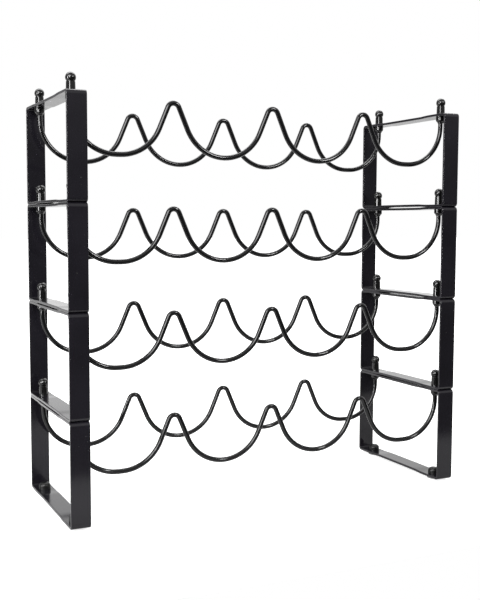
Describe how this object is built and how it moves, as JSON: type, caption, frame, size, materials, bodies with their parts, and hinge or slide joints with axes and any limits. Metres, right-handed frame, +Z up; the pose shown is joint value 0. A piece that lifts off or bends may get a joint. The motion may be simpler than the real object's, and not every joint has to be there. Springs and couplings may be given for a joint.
{
  "type": "wine rack",
  "caption": "Tabletop wine rack of stacked tiers: flat-strip end frames joined front and back by wave-bent wires that cradle bottles on their sides, held together by ball-headed screws.",
  "frame": {"origin": "on the floor, midway between the end frames and midway between front and back", "axes": "+X along the row of bottles, to the right as seen from the front; -Y is the front, where the bottle necks are reached; +Z up"},
  "size_m": [0.43, 0.16, 0.42],
  "materials": {
    "strip_coating": "satin black powder coat",
    "wire_coating": "semi-gloss black powder coat",
    "ferrule_coating": "semi-gloss black powder coat",
    "finial_coating": "gloss black",
    "nut_coating": "gloss black",
    "pad_rubber": "frosted grey rubber",
    "screw_steel": "zinc plated"
  },
  "bodies": {
    "root": {"end_frame_left_1": "strip_coating", "end_frame_right_1": "strip_coating", "wave_wire_front_1": "wire_coating", "ferrule_front_left_1": "ferrule_coating", "ball_finial_front_left_1": "finial_coating", "ferrule_front_right_1": "ferrule_coating", "ball_finial_front_right_1": "finial_coating", "wave_wire_back_1": "wire_coating", "ferrule_back_left_1": "ferrule_coating", "ball_finial_back_left_1": "finial_coating", "ferrule_back_right_1": "ferrule_coating", "ball_finial_back_right_1": "finial_coating", "end_frame_left_2": "strip_coating", "end_frame_right_2": "strip_coating", "wave_wire_front_2": "wire_coating", "ferrule_front_left_2": "ferrule_coating", "ball_finial_front_left_2": "finial_coating", "ferrule_front_right_2": "ferrule_coating", "ball_finial_front_right_2": "finial_coating", "wave_wire_back_2": "wire_coating", "ferrule_back_left_2": "ferrule_coating", "ball_finial_back_left_2": "finial_coating", "ferrule_back_right_2": "ferrule_coating", "ball_finial_back_right_2": "finial_coating", "end_frame_left_3": "strip_coating", "end_frame_right_3": "strip_coating", "wave_wire_front_3": "wire_coating", "ferrule_front_left_3": "ferrule_coating", "ball_finial_front_left_3": "finial_coating", "ferrule_front_right_3": "ferrule_coating", "ball_finial_front_right_3": "finial_coating", "wave_wire_back_3": "wire_coating", "ferrule_back_left_3": "ferrule_coating", "ball_finial_back_left_3": "finial_coating", "ferrule_back_right_3": "ferrule_coating", "ball_finial_back_right_3": "finial_coating", "end_frame_left_4": "strip_coating", "end_frame_right_4": "strip_coating", "wave_wire_front_4": "wire_coating", "ferrule_front_left_4": "ferrule_coating", "ball_finial_front_left_4": "finial_coating", "ferrule_front_right_4": "ferrule_coating", "ball_finial_front_right_4": "finial_coating", "wave_wire_back_4": "wire_coating", "ferrule_back_left_4": "ferrule_coating", "ball_finial_back_left_4": "finial_coating", "ferrule_back_right_4": "ferrule_coating", "ball_finial_back_right_4": "finial_coating", "foot_pad_front_left": "pad_rubber", "foot_screw_front_left": "screw_steel", "cap_nut_front_left": "nut_coating", "foot_pad_front_right": "pad_rubber", "foot_screw_front_right": "screw_steel", "cap_nut_front_right": "nut_coating", "foot_pad_back_left": "pad_rubber", "foot_screw_back_left": "screw_steel", "cap_nut_back_left": "nut_coating", "foot_pad_back_right": "pad_rubber", "foot_screw_back_right": "screw_steel", "cap_nut_back_right": "nut_coating"}
  },
  "joints": []
}
